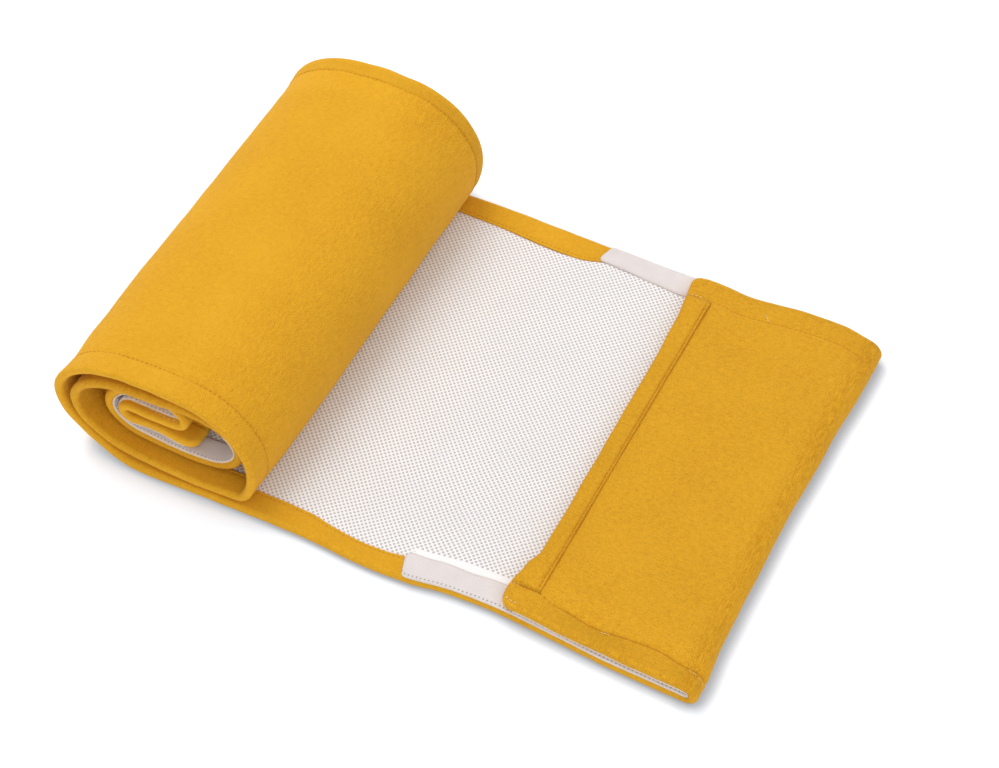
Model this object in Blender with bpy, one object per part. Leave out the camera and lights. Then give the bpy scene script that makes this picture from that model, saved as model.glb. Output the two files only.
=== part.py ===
"""A crib bumper, partly rolled up: a long strip of muslin backed with spacer mesh.

The strip lies mesh side up on the floor. Its right end is folded over onto the mesh as a flap.
Its left part is rolled up, muslin outside, and ends in a second, smaller flap inside the roll.
X runs along the strip, Y across it from the near edge to the far edge, and Z is up. Metres.
"""

import math
from collections import namedtuple

import bmesh
import bpy

MM = 0.001

# The middle of the whole thing seen from above, in the units of the tables. It becomes the origin
CENTRE_X = -8.5 * MM
CENTRE_Y = 3.7 * MM

# Layers of the strip, counted in from the muslin face
MUSLIN = 2.2 * MM
MESH = 3.0 * MM
MESH_UNDER_HEM = 1.4 * MM
HEM = 1.2 * MM
CLEARANCE = 0.3 * MM
STRIP = MUSLIN + CLEARANCE + MESH
STRIP_AT_HEM = STRIP + 0.5 * MM

# The hems along both long edges
HEM_WIDTH = 17.0 * MM
RIM_ROUND = 1.6 * MM
RIM_WALL = 1.1 * MM
MESH_FROM_RIM = 4.0 * MM
SEAM_WIDTH = 2.4 * MM
SEAM_DEPTH = 0.6 * MM
MESH_RAMP = 1.0 * MM

# Hook-and-loop tapes on the hems, and the bands that bind the two short ends. The tapes of the
# outer end reach to an X, those in the roll to a place along the strip
TAPE = 0.8 * MM
TAPE_INSET = 1.6 * MM
TAPE_WIDTH = 14.6 * MM
TAPE_END_X = 12.5 * MM
TAPE_TO_END = 6.0 * MM
TAPE_CORE_FROM = 4.96
BAND = 1.2 * MM
BAND_WIDTH = 14.0 * MM
BAND_ROUND = 0.5 * MM
BAND_FROM_SEAM = 2.5 * MM

# Each turn of the strip, from the flap that shows to the flap inside the roll. x is the middle
# of the strip's thickness where the turn reaches furthest, which is at the height z_wide. z_in and
# z_out are its heights before and after the turn, and reach_in and reach_out are how far along X
# each half of its bend is spread. At the far edge x is greater by drift, and the higher side by lift.
Turn = namedtuple("Turn", "x drift z_in z_wide z_out reach_in reach_out lift steps")
TURNS = [
    Turn(x=199.8, drift=0, z_in=12.95, z_wide=7.85, z_out=2.75, reach_in=5.2, reach_out=5.2, lift=0, steps=8),
    Turn(x=-216.4, drift=5.9, z_in=2.75, z_wide=40.9, z_out=75.1, reach_in=54, reach_out=48.3, lift=10.2, steps=10),
    Turn(x=-86.6, drift=5.0, z_in=75.1, z_wide=33.3, z_out=9.8, reach_in=46.4, reach_out=10, lift=10.2, steps=10),
    Turn(x=-207.8, drift=5.4, z_in=9.8, z_wide=39.5, z_out=68.1, reach_in=46, reach_out=44, lift=9.7, steps=10),
    Turn(x=-99.5, drift=4.5, z_in=68.1, z_wide=36.5, z_out=19.0, reach_in=42, reach_out=20, lift=9.7, steps=10),
    Turn(x=-190.3, drift=2.0, z_in=19.0, z_wide=35.5, z_out=51.0, reach_in=21, reach_out=18, lift=2.0, steps=8),
    Turn(x=-136.0, drift=0, z_in=51.0, z_wide=46.0, z_out=41.1, reach_in=5.4, reach_out=5.4, lift=1.0, steps=8),
    Turn(x=-179.2, drift=2.2, z_in=41.1, z_wide=35.3, z_out=29.5, reach_in=6.8, reach_out=6.8, lift=1.0, steps=6),
]
FREE_END = (80.5, 12.4)
CORE_END = (-133.0, 29.5)
STRETCH_STEPS = [5, 10, 3, 3, 3, 3, 3, 3, 4]

# Places along the strip are counted in turns: 0 is the flap's free end, 1 is the middle of the
# first turn, 2 that of the second, and so on. A turn's own points take this much on either side
TURN_SPREAD = 0.10

# Where the two long edges run, and how far the hems bend outwards from their seams
Edge = namedtuple("Edge", "along near far flare")
EDGES = [
    Edge(along=0.00, near=-138.5, far=137.0, flare=0.0),
    Edge(along=0.08, near=-138.0, far=138.0, flare=0.0),
    Edge(along=0.25, near=-137.0, far=136.6, flare=0.0),
    Edge(along=0.60, near=-137.5, far=141.2, flare=0.0),
    Edge(along=0.74, near=-138.2, far=141.4, flare=0.0),
    Edge(along=0.88, near=-140.0, far=138.2, flare=0.0),
    Edge(along=1.00, near=-143.0, far=135.5, flare=0.0),
    Edge(along=1.12, near=-142.7, far=138.5, flare=0.0),
    Edge(along=1.21, near=-142.2, far=141.0, flare=0.0),
    Edge(along=1.28, near=-140.3, far=141.5, flare=0.0),
    Edge(along=1.37, near=-138.4, far=141.0, flare=0.0),
    Edge(along=1.43, near=-139.4, far=140.6, flare=0.0),
    Edge(along=1.50, near=-144.0, far=140.8, flare=0.0),
    Edge(along=1.56, near=-145.2, far=140.6, flare=0.0),
    Edge(along=1.65, near=-143.4, far=140.8, flare=0.0),
    Edge(along=1.78, near=-144.0, far=138.8, flare=0.0),
    Edge(along=1.90, near=-146.6, far=134.0, flare=0.0),
    Edge(along=1.95, near=-144.2, far=134.6, flare=2.0),
    Edge(along=2.00, near=-141.0, far=136.6, flare=2.8),
    Edge(along=2.05, near=-139.2, far=139.4, flare=2.7),
    Edge(along=2.10, near=-138.0, far=142.8, flare=2.5),
    Edge(along=2.50, near=-137.2, far=144.8, flare=2.2),
    Edge(along=2.90, near=-137.2, far=144.2, flare=1.6),
    Edge(along=3.00, near=-140.0, far=145.4, flare=0.0),
    Edge(along=3.50, near=-144.0, far=138.0, flare=0.0),
    Edge(along=4.00, near=-141.0, far=140.0, flare=0.0),
    Edge(along=4.50, near=-138.5, far=142.5, flare=0.0),
    Edge(along=5.00, near=-131.0, far=149.5, flare=0.0),
    Edge(along=5.40, near=-134.5, far=146.0, flare=0.0),
    Edge(along=6.00, near=-131.0, far=149.5, flare=0.0),
    Edge(along=6.50, near=-125.5, far=155.0, flare=0.0),
    Edge(along=7.00, near=-131.5, far=149.5, flare=0.0),
    Edge(along=7.40, near=-133.2, far=147.5, flare=0.0),
    Edge(along=8.00, near=-133.0, far=147.5, flare=0.0),
    Edge(along=8.40, near=-131.5, far=147.0, flare=0.0),
    Edge(along=9.00, near=-133.5, far=142.0, flare=0.0),
]

# How far from the near edge the near tape in the roll is sewn on
TapeLine = namedtuple("TapeLine", "along inset")
NEAR_CORE_TAPE = [
    TapeLine(along=6.9, inset=1.6),
    TapeLine(along=7.1, inset=5.6),
    TapeLine(along=7.9, inset=5.6),
    TapeLine(along=8.1, inset=1.6),
]

# How far each short end reaches past its own straight line, by distance from the near edge
EndLine = namedtuple("EndLine", "from_near reach")
END_LINE = [
    EndLine(from_near=0.0, reach=2.5),
    EndLine(from_near=14.0, reach=3.8),
    EndLine(from_near=30.0, reach=0.8),
    EndLine(from_near=42.0, reach=-3.1),
    EndLine(from_near=86.0, reach=-3.4),
    EndLine(from_near=120.0, reach=-2.8),
    EndLine(from_near=200.0, reach=-2.2),
    EndLine(from_near=235.0, reach=-0.9),
    EndLine(from_near=280.0, reach=3.5),
]
END_FADE = 30.0 * MM

# How far the first turn's fold reaches past a straight line, faded out along the cloth
FOLD_FADE = 50.0 * MM
FoldLine = namedtuple("FoldLine", "from_near reach")
FOLD_LINE = [
    FoldLine(from_near=12.0, reach=0.4),
    FoldLine(from_near=42.0, reach=-1.9),
    FoldLine(from_near=140.0, reach=-2.5),
    FoldLine(from_near=200.0, reach=-0.7),
    FoldLine(from_near=270.0, reach=2.1),
]

# A column is a distance from the near edge, or a negative one from the far edge, or None in the
# middle. These lie between the hems, where the line of the short ends turns.
END_COLUMNS = (42.0 * MM, None, -80.0 * MM)
TINY = 1e-9
SHARP_FROM = math.radians(40)

MUSTARD = (0.77, 0.39, 0.02, 1.0)
WHITE = (0.87, 0.83, 0.82, 1.0)
LILAC_WHITE = (0.78, 0.72, 0.73, 1.0)


def blend(low, high, share):
    return low + (high - low) * share


def eased(share):
    share = min(max(share, 0.0), 1.0)
    return share * share * (3.0 - 2.0 * share)


def from_rows(rows, place, column):
    """The value of one column of a table at a place, eased between its rows."""
    last = rows[0]
    for row in rows[1:]:
        if place <= row[0]:
            share = eased((place - last[0]) / (row[0] - last[0]))
            return blend(getattr(last, column), getattr(row, column), share)
        last = row
    return getattr(last, column)


def heights(turn, far):
    """The turn's heights before and after it, at the near or at the far edge."""
    lift = turn.lift * far
    if turn.z_in > turn.z_out:
        return turn.z_in + lift, turn.z_out
    return turn.z_in, turn.z_out + lift


def bend(turn, side, far):
    """The points of one turn, two quarters of an ellipse. side is 1 for a turn at the right."""
    z_in, z_out = heights(turn, far)
    wide = turn.z_wide + turn.lift * far / 2
    points = []
    for step in range(turn.steps + 1):
        angle = math.pi * step / turn.steps
        reach, z_end = (turn.reach_in, z_in) if step * 2 <= turn.steps else (turn.reach_out, z_out)
        x = turn.x + turn.drift * far - side * reach * (1.0 - math.sin(angle))
        points.append((x, wide + (z_end - wide) * abs(math.cos(angle))))
    return points


def run(start, end, steps):
    """The points between two turns, level at both ends."""
    points = []
    for step in range(1, steps):
        share = step / steps
        points.append((blend(start[0], end[0], share), blend(start[1], end[1], eased(share))))
    return points


def middle_line(far):
    """The strip's middle line in X and Z at one edge, and how far along the turns each point is."""
    points = [FREE_END]
    along = [0.0]
    side = 1
    for number, turn in enumerate(TURNS + [CORE_END]):
        if turn is CORE_END:
            turn_points = [CORE_END]
        else:
            turn_points = bend(turn, side, far)
        steps = STRETCH_STEPS[number]
        run_points = run(points[-1], turn_points[0], steps)
        spread = TURN_SPREAD if turn is not CORE_END else 0.0
        first = along[-1]
        for step in range(1, steps):
            along.append(blend(first, number + 1 - spread, step / steps))
        last_step = max(len(turn_points) - 1, 1)
        for step in range(len(turn_points)):
            along.append(number + 1 + spread * (2.0 * step / last_step - 1.0))
        points += run_points + turn_points
        side = -side
    return [(x * MM, z * MM) for x, z in points], along


def directions(points):
    """The unit vector along the line at each of its points."""
    found = []
    for index in range(len(points)):
        before = points[max(index - 1, 0)]
        after = points[min(index + 1, len(points) - 1)]
        dx, dz = after[0] - before[0], after[1] - before[1]
        length = math.hypot(dx, dz)
        found.append((dx / length, dz / length))
    return found


class Strip:
    """The lie of the strip: it turns a place on the cloth into a place in space."""

    def __init__(self):
        self.near, self.along = middle_line(0)
        self.far, _ = middle_line(1)
        self.near_way = directions(self.near)
        self.far_way = directions(self.far)
        self.last = len(self.near) - 1

    def edges(self, station):
        along = self.along[station]
        near = from_rows(EDGES, along, "near") * MM
        far = from_rows(EDGES, along, "far") * MM
        return near, far

    def to_end(self, station, at_core):
        """The length of cloth from a station to the free end, or to the end in the core."""
        numbers = range(station, self.last) if at_core else range(0, station)
        pairs = ((self.near[number], self.near[number + 1]) for number in numbers)
        return sum(math.dist(first, second) for first, second in pairs)

    def fold_shift(self, station, from_near):
        """The uneven line of the first turn's fold, faded out along the cloth on both its sides."""
        fold = self.along.index(1.0)
        low, high = min(station, fold), max(station, fold)
        pairs = ((self.near[number], self.near[number + 1]) for number in range(low, high))
        run_from_fold = sum(math.dist(first, second) for first, second in pairs)
        return from_rows(FOLD_LINE, from_near / MM, "reach") * MM * (1.0 - eased(run_from_fold / FOLD_FADE))

    def end_shift(self, station, from_near):
        """The uneven line of the two short ends, faded out along the cloth."""
        reach = from_rows(END_LINE, from_near / MM, "reach") * MM
        at_start = 1.0 - eased(self.to_end(station, False) / END_FADE)
        at_core = 1.0 - eased(self.to_end(station, True) / END_FADE)
        return reach * (at_core - at_start)

    def place(self, station, y, depth, slide_in=0.0, slide_way=1.0):
        """The point at a station, at y across the cloth and at a depth below its muslin face.

        slide_in moves it in from a short end. There the end's own uneven line counts less and less,
        so that the band's seam is straight.
        """
        near_y, far_y = self.edges(station)
        share = (y - near_y) / (far_y - near_y)
        x = blend(self.near[station][0], self.far[station][0], share)
        z = blend(self.near[station][1], self.far[station][1], share)
        way_x = blend(self.near_way[station][0], self.far_way[station][0], share)
        way_z = blend(self.near_way[station][1], self.far_way[station][1], share)
        length = math.hypot(way_x, way_z)
        way_x, way_z = way_x / length, way_z / length
        from_rim = min(y - near_y, far_y - y)
        flare = from_rows(EDGES, self.along[station], "flare") * MM
        outward = flare * max(0.0, 1.0 - from_rim / HEM_WIDTH)
        height = STRIP / 2 - depth + outward
        in_band = min(max(slide_in, 0.0) / BAND_WIDTH, 1.0)
        shift = self.end_shift(station, y - near_y) * (1.0 - in_band) + slide_in * slide_way
        x += way_x * shift - way_z * height + self.fold_shift(station, y - near_y)
        z += way_z * shift + way_x * height
        return (x - CENTRE_X, y - CENTRE_Y, z)


def across(strip, station, column):
    """The y of a column: its distance from the near edge, or from the far edge if negative."""
    near, far = strip.edges(station)
    if column is None:
        return (near + far) / 2
    return near + column if column >= 0 else far + column


def sheet_mesh(rows):
    """A closed sheet from rows of point pairs, each pair its outer and its inner point."""
    mesh = bmesh.new()
    outer = [[mesh.verts.new(pair[0]) for pair in row] for row in rows]
    inner = [[mesh.verts.new(pair[1]) for pair in row] for row in rows]
    last_row, last_column = len(rows) - 1, len(rows[0]) - 1
    for row in range(last_row):
        for column in range(last_column):
            for face in (outer, inner):
                corners = (face[row][column], face[row + 1][column])
                mesh.faces.new(corners + (face[row + 1][column + 1], face[row][column + 1]))
        for column in (0, last_column):
            low = (outer[row][column], outer[row + 1][column])
            high = (inner[row + 1][column], inner[row][column])
            mesh.faces.new(low + high)
    for row in (0, last_row):
        for column in range(last_column):
            low = (outer[row][column], outer[row][column + 1])
            high = (inner[row][column + 1], inner[row][column])
            mesh.faces.new(low + high)
    bmesh.ops.recalc_face_normals(mesh, faces=mesh.faces[:])
    return mesh


def add_object(name, mesh, material, collection):
    data = bpy.data.meshes.new(name)
    mesh.to_mesh(data)
    mesh.free()
    data.materials.append(material)
    data.shade_smooth()
    data.set_sharp_from_angle(angle=SHARP_FROM)
    collection.objects.link(bpy.data.objects.new(name, data))


def muslin_columns():
    """The muslin's section across the strip: a hem folded round the mesh along each edge."""
    inside = RIM_ROUND + RIM_WALL
    hem_top = STRIP_AT_HEM - HEM
    half = [
        ((HEM_WIDTH, STRIP_AT_HEM), (HEM_WIDTH, hem_top)),
        ((RIM_ROUND, STRIP_AT_HEM), (inside, hem_top)),
        ((0.0, STRIP_AT_HEM / 2), (inside, STRIP_AT_HEM / 2)),
        ((RIM_ROUND, 0.0), (inside, MUSLIN)),
        ((HEM_WIDTH - SEAM_WIDTH / 2, 0.0), (HEM_WIDTH - SEAM_WIDTH / 2, MUSLIN)),
        ((HEM_WIDTH, SEAM_DEPTH), (HEM_WIDTH, MUSLIN)),
        ((HEM_WIDTH + SEAM_WIDTH / 2, 0.0), (HEM_WIDTH + SEAM_WIDTH / 2, MUSLIN)),
    ]
    return both_halves(half, 0.0, MUSLIN)


def both_halves(half, low, high):
    """The section of the near half, the columns between the hems, and the near half mirrored."""
    middle = [((column, low), (column, high)) for column in END_COLUMNS]
    other = [tuple((min(-column, -TINY), depth) for column, depth in pair) for pair in reversed(half)]
    return half + middle + other


def rows_of(strip, stations, columns):
    rows = []
    for station in stations:
        row = []
        for pair in columns:
            points = []
            for column, depth in pair:
                points.append(strip.place(station, across(strip, station, column), depth))
            row.append(points)
        rows.append(row)
    return rows


def add_muslin(strip, collection, material):
    rows = rows_of(strip, range(strip.last + 1), muslin_columns())
    add_object("muslin_panel", sheet_mesh(rows), material, collection)


def add_spacer_mesh(strip, collection, material):
    low = MUSLIN + CLEARANCE
    tight = low + MESH_UNDER_HEM
    half = [
        ((MESH_FROM_RIM, low + CLEARANCE), (MESH_FROM_RIM, tight)),
        ((HEM_WIDTH + CLEARANCE, low), (HEM_WIDTH + CLEARANCE, tight)),
        ((HEM_WIDTH + CLEARANCE + MESH_RAMP, low), (HEM_WIDTH + CLEARANCE + MESH_RAMP, STRIP)),
    ]
    rows = rows_of(strip, range(strip.last + 1), both_halves(half, low, STRIP))
    add_object("mesh_panel", sheet_mesh(rows), material, collection)


def stations_between(strip, at_core):
    """The stations that a tape covers at the outer end, or at the end in the core."""
    found = []
    for station in range(strip.last + 1):
        beyond_end = strip.to_end(station, at_core) > TAPE_TO_END
        along = strip.along[station]
        if at_core:
            on_tape = along > TAPE_CORE_FROM
        else:
            on_tape = along < 1.0 or (along < 2.0 and strip.near[station][0] > TAPE_END_X)
        if beyond_end and on_tape:
            found.append(station)
    return found


def tape_columns(strip, station, side, at_core):
    """The tape's section: two columns that lie on the hem of the near or the far side."""
    low = STRIP_AT_HEM + CLEARANCE
    high = low + TAPE
    inset = TAPE_INSET
    if at_core and side == "near":
        inset = from_rows(NEAR_CORE_TAPE, strip.along[station], "inset") * MM
    places = (inset, inset + TAPE_WIDTH) if side == "near" else (-inset - TAPE_WIDTH, -inset)
    return [((place, low), (place, high)) for place in places]


def add_tapes(strip, collection, material):
    for end, at_core in (("outer", False), ("inner", True)):
        for side in ("near", "far"):
            rows = []
            for station in stations_between(strip, at_core):
                rows += rows_of(strip, [station], tape_columns(strip, station, side, at_core))
            add_object(f"loop_tape_{side}_{end}", sheet_mesh(rows), material, collection)


def add_end_band(strip, collection, material, name, at_core):
    """A binding folded round one short end, between the two hems."""
    station = strip.last if at_core else 0
    away = -1.0 if at_core else 1.0
    top = -CLEARANCE
    bottom = STRIP + CLEARANCE
    nose = -CLEARANCE
    section = [
        ((BAND_WIDTH, top - BAND + BAND_ROUND), (BAND_WIDTH, top)),
        ((BAND_WIDTH - BAND_ROUND, top - BAND), (BAND_WIDTH - BAND_ROUND, top)),
        ((nose - BAND + BAND_ROUND, top - BAND), (nose, top)),
        ((nose - BAND, top), (nose, STRIP / 2 - BAND_ROUND)),
        ((nose - BAND, bottom), (nose, STRIP / 2 + BAND_ROUND)),
        ((nose - BAND + BAND_ROUND, bottom + BAND), (nose, bottom)),
        ((BAND_WIDTH, bottom + BAND), (BAND_WIDTH, bottom)),
    ]
    from_edge = HEM_WIDTH + BAND_FROM_SEAM
    rows = []
    for column in (from_edge, *END_COLUMNS, -from_edge):
        y = across(strip, station, column)
        row = []
        for pair in section:
            points = [strip.place(station, y, depth, slide, away) for slide, depth in pair]
            row.append(points)
        rows.append(row)
    add_object(name, sheet_mesh(rows), material, collection)


def make_material(name, colour, roughness):
    material = bpy.data.materials.new(name)
    material.use_nodes = True
    shader = material.node_tree.nodes["Principled BSDF"]
    shader.inputs["Base Color"].default_value = colour
    shader.inputs["Roughness"].default_value = roughness
    shader.inputs["Metallic"].default_value = 0.0
    return material


def main():
    for old in list(bpy.data.objects):
        bpy.data.objects.remove(old, do_unlink=True)
    collection = bpy.data.collections.new("crib_bumper")
    bpy.context.scene.collection.children.link(collection)
    strip = Strip()
    add_muslin(strip, collection, make_material("muslin", MUSTARD, 0.85))
    add_spacer_mesh(strip, collection, make_material("spacer_mesh", WHITE, 0.8))
    add_tapes(strip, collection, make_material("loop_tape", LILAC_WHITE, 0.9))
    band_material = make_material("end_binding", MUSTARD, 0.85)
    add_end_band(strip, collection, band_material, "end_band_outer", False)
    add_end_band(strip, collection, band_material, "end_band_inner", True)


main()
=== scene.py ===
"""The looks of a crib bumper that is partly rolled up: crinkled muslin, spacer mesh, tapes, thread."""

import math
from bisect import bisect_right
from collections import namedtuple

import bmesh
import bpy
from mathutils import Matrix, Vector, noise


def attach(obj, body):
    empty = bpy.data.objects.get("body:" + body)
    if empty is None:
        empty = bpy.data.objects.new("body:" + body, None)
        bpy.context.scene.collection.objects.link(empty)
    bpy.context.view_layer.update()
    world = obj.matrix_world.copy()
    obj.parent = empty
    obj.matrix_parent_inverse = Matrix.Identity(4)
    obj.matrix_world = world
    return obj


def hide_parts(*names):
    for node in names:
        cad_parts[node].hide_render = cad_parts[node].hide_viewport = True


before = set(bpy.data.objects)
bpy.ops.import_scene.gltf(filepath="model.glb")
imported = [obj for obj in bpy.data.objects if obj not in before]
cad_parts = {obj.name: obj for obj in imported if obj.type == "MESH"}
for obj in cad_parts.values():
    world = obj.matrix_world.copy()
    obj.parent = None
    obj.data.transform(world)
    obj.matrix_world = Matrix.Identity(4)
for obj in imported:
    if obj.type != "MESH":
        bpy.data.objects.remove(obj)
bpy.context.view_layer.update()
MM = 0.001

# ------------------------------ how the strip lies, in mm
# The part's middle, the strip's thickness without and with its hem, and its widths
CENTRE_X = -8.5
CENTRE_Y = 3.7
STRIP = 5.5
HEM_TOP = 6.0
HEM_WIDTH = 17.0
BAND_WIDTH = 14.0
CLOTH_WIDTH = 280.0
SIDE_ZONE = 40.0

# How far a bend reaches, in turns, and how fast the short ends' and the fold's own lines fade
TURN_SPREAD = 0.10
END_FADE = 30.0
FOLD_FADE = 50.0

# Where the outer tapes end in X, how far from the short ends all stop, and where the inner ones start
TAPE_END_X = 12.5
TAPE_TO_END = 6.0
TAPE_CORE_FROM = 4.96

# Where each bend of the strip is widest (x), its heights where it starts, is widest and ends, and how far
# its two halves reach along X. At the far edge x is greater by drift, and the higher end by lift
Turn = namedtuple("Turn", "x drift z_in z_wide z_out reach_in reach_out lift")
TURNS = [
    Turn(x=199.8, drift=0, z_in=12.95, z_wide=7.85, z_out=2.75, reach_in=5.2, reach_out=5.2, lift=0),
    Turn(x=-216.4, drift=5.9, z_in=2.75, z_wide=40.9, z_out=75.1, reach_in=54, reach_out=48.3, lift=10.2),
    Turn(x=-86.6, drift=5.0, z_in=75.1, z_wide=33.3, z_out=9.8, reach_in=46.4, reach_out=10, lift=10.2),
    Turn(x=-207.8, drift=5.4, z_in=9.8, z_wide=39.5, z_out=68.1, reach_in=46, reach_out=44, lift=9.7),
    Turn(x=-99.5, drift=4.5, z_in=68.1, z_wide=36.5, z_out=19.0, reach_in=42, reach_out=20, lift=9.7),
    Turn(x=-190.3, drift=2.0, z_in=19.0, z_wide=35.5, z_out=51.0, reach_in=21, reach_out=18, lift=2.0),
    Turn(x=-136.0, drift=0, z_in=51.0, z_wide=46.0, z_out=41.1, reach_in=5.4, reach_out=5.4, lift=1.0),
    Turn(x=-179.2, drift=2.2, z_in=41.1, z_wide=35.3, z_out=29.5, reach_in=6.8, reach_out=6.8, lift=1.0),
]
FREE_END = (80.5, 12.4)
CORE_END = (-133.0, 29.5)
LAST_ALONG = 9.0

# Places along the strip are counted in turns: 0 is the flap's free end, 1 the middle of turn 1. near and
# far are where the two long edges run in Y, and flare is how far the hems lean outwards
Edge = namedtuple("Edge", "along near far flare", defaults=[0.0])
EDGES = [
    Edge(along=0.00, near=-138.5, far=137.0),
    Edge(along=0.08, near=-138.0, far=138.0),
    Edge(along=0.25, near=-138.9, far=136.6),
    Edge(along=0.60, near=-140.5, far=141.2),
    Edge(along=0.74, near=-141.0, far=141.4),
    Edge(along=0.88, near=-141.9, far=138.2),
    Edge(along=1.00, near=-143.0, far=135.5),
    Edge(along=1.12, near=-142.7, far=138.5),
    Edge(along=1.21, near=-142.2, far=141.0),
    Edge(along=1.28, near=-140.3, far=141.5),
    Edge(along=1.37, near=-138.4, far=141.0),
    Edge(along=1.43, near=-139.4, far=140.6),
    Edge(along=1.50, near=-144.0, far=140.8),
    Edge(along=1.56, near=-145.2, far=140.6),
    Edge(along=1.65, near=-143.4, far=140.8),
    Edge(along=1.78, near=-144.9, far=138.8),
    Edge(along=1.90, near=-146.9, far=134.0),
    Edge(along=1.95, near=-142.6, far=134.6, flare=0.8),
    Edge(along=2.00, near=-141.2, far=136.6, flare=2.2),
    Edge(along=2.05, near=-139.7, far=139.4, flare=2.6),
    Edge(along=2.10, near=-138.0, far=142.8, flare=2.5),
    Edge(along=2.50, near=-137.2, far=144.8, flare=2.2),
    Edge(along=2.90, near=-137.2, far=144.2, flare=1.6),
    Edge(along=3.00, near=-140.0, far=145.4),
    Edge(along=3.50, near=-144.0, far=138.0),
    Edge(along=4.00, near=-141.0, far=140.0),
    Edge(along=4.50, near=-138.5, far=142.5),
    Edge(along=5.00, near=-131.0, far=149.5),
    Edge(along=5.40, near=-134.5, far=146.0),
    Edge(along=6.00, near=-131.0, far=149.5),
    Edge(along=6.50, near=-125.5, far=155.0),
    Edge(along=7.00, near=-131.5, far=149.5),
    Edge(along=7.40, near=-133.2, far=147.5),
    Edge(along=8.00, near=-133.0, far=147.5),
    Edge(along=8.40, near=-131.5, far=147.0),
    Edge(along=9.00, near=-133.5, far=142.0),
]

# How far from its rim each hem is sewn, on both long sides
Sides = namedtuple("Sides", "along near far")
SEAMS = [
    Sides(along=0.00, near=16.0, far=17.2),
    Sides(along=0.12, near=16.0, far=16.6),
    Sides(along=0.18, near=13.5, far=16.6),
    Sides(along=0.27, near=12.4, far=17.5),
    Sides(along=0.41, near=10.8, far=17.5),
    Sides(along=0.60, near=13.8, far=17.0),
    Sides(along=0.71, near=14.7, far=16.5),
    Sides(along=0.85, near=12.4, far=16.4),
    Sides(along=1.00, near=12.5, far=17.5),
    Sides(along=1.20, near=15.5, far=14.6),
    Sides(along=1.30, near=15.4, far=13.0),
    Sides(along=1.49, near=15.0, far=12.4),
    Sides(along=1.54, near=12.7, far=18.3),
    Sides(along=1.58, near=12.0, far=19.1),
    Sides(along=1.62, near=12.6, far=18.6),
    Sides(along=1.66, near=14.8, far=17.5),
    Sides(along=1.73, near=15.5, far=16.3),
    Sides(along=2.00, near=16.5, far=10.5),
    Sides(along=2.50, near=16.6, far=11.4),
    Sides(along=3.00, near=16.4, far=10.5),
    Sides(along=3.60, near=16.4, far=12.0),
    Sides(along=3.85, near=24.0, far=14.0),
    Sides(along=4.15, near=24.0, far=14.0),
    Sides(along=4.40, near=16.0, far=14.0),
    Sides(along=9.00, near=15.0, far=16.0),
]

# How far from the rims the outer end's tapes reach, and where the near one in the roll starts
TAPE_REACH = [
    Sides(along=1.10, near=16.3, far=16.3),
    Sides(along=1.38, near=17.6, far=17.6),
    Sides(along=1.425, near=16.2, far=16.4),
    Sides(along=1.468, near=17.9, far=15.0),
    Sides(along=1.504, near=18.4, far=14.4),
]
Inset = namedtuple("Inset", "along from_rim")
NEAR_CORE_TAPE = [
    Inset(along=6.9, from_rim=1.6),
    Inset(along=7.1, from_rim=5.6),
    Inset(along=7.9, from_rim=5.6),
    Inset(along=8.1, from_rim=1.6),
]

# How far each short end reaches past its own straight line, by distance from the near edge
Reach = namedtuple("Reach", "from_near reach")
END_LINE = [
    Reach(from_near=0.0, reach=2.5),
    Reach(from_near=14.0, reach=3.8),
    Reach(from_near=30.0, reach=0.8),
    Reach(from_near=42.0, reach=-3.1),
    Reach(from_near=86.0, reach=-3.4),
    Reach(from_near=120.0, reach=-2.8),
    Reach(from_near=200.0, reach=-2.2),
    Reach(from_near=235.0, reach=-0.9),
    Reach(from_near=280.0, reach=3.5),
]

# How far the first turn's fold reaches past a straight line, faded out along the cloth
FOLD_LINE = [
    Reach(from_near=12.0, reach=0.4),
    Reach(from_near=42.0, reach=-1.9),
    Reach(from_near=140.0, reach=-2.5),
    Reach(from_near=200.0, reach=-0.7),
    Reach(from_near=270.0, reach=2.1),
]

# How far the roll's outermost turn bulges, by distance from the near edge, and where it does so
BULGE = [
    Reach(from_near=10.0, reach=0.0),
    Reach(from_near=40.0, reach=1.7),
    Reach(from_near=90.0, reach=2.0),
    Reach(from_near=180.0, reach=1.1),
    Reach(from_near=250.0, reach=1.0),
    Reach(from_near=275.0, reach=0.3),
]
BULGE_RISES = (1.86, 1.98)
BULGE_FALLS = (3.00, 3.15)

# How far the flap's near hem droops, where it does, and how wide a strip beside the rim droops with it
FLAP_DROOP = 1.6
DROOP_RISES = (0.06, 0.26)
DROOP_FALLS = (0.70, 0.95)
DROOP_WIDTH = 22.0
LOWEST = 0.02


def blend(low, high, share):
    return low + (high - low) * share


def eased(share):
    share = min(max(share, 0.0), 1.0)
    return share * share * (3.0 - 2.0 * share)


def ramp(place, start, end):
    """0 up to start and 1 from end on, eased between."""
    return eased((place - start) / (end - start))


def from_rows(rows, place, column):
    """The value of one column of a table at a place, eased between its rows."""
    last = rows[0]
    for row in rows[1:]:
        if place <= row[0]:
            share = eased((place - last[0]) / (row[0] - last[0]))
            return blend(getattr(last, column), getattr(row, column), share)
        last = row
    return getattr(last, column)


def bump_at(place, middle, width):
    """A soft rise from 0 to 1 and back round a place."""
    return math.exp(-(((place - middle) / width) ** 2))


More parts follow.
